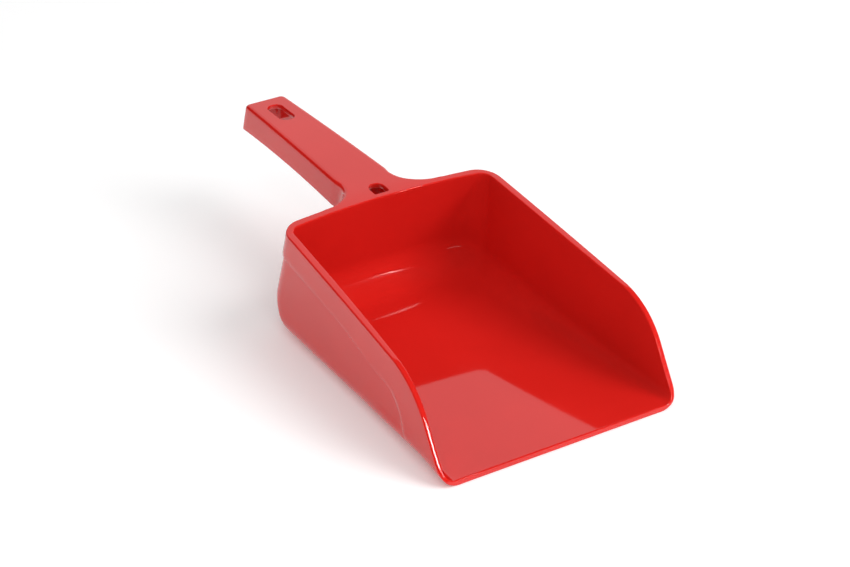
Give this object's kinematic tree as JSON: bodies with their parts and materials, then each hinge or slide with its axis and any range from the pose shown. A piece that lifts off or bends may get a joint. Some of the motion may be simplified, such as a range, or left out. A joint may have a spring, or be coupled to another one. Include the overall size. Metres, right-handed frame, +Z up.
{
  "type": "grain scoop shovel",
  "caption": "One-piece moulded hand scoop with an open front, sloping rim with a reinforced band, and a hollow grip with a hanging slot.",
  "frame": {"origin": "middle of the bounding box's footprint, on the plane of the flat floor's underside", "axes": "+Z up, +Y from the front lip towards the grip, +X to the right when looking along +Y"},
  "size_m": [0.1506, 0.321, 0.0735],
  "materials": {
    "red_plastic": "gloss"
  },
  "bodies": {
    "root": {"front_lip": "red_plastic", "floor": "red_plastic", "heel_fillet": "red_plastic", "back_wall": "red_plastic", "rim_band_back": "red_plastic", "floor_fillet_left": "red_plastic", "side_wall_left": "red_plastic", "rim_band_left": "red_plastic", "heel_corner_left": "red_plastic", "back_corner_left": "red_plastic", "rim_corner_left": "red_plastic", "floor_fillet_right": "red_plastic", "side_wall_right": "red_plastic", "rim_band_right": "red_plastic", "heel_corner_right": "red_plastic", "back_corner_right": "red_plastic", "rim_corner_right": "red_plastic", "grip_root": "red_plastic", "grip_plate": "red_plastic", "root_skirt_left": "red_plastic", "root_skirt_right": "red_plastic", "grip_skirt_left": "red_plastic", "grip_skirt_right": "red_plastic", "root_rib": "red_plastic", "grip_end_wall": "red_plastic"}
  },
  "joints": []
}
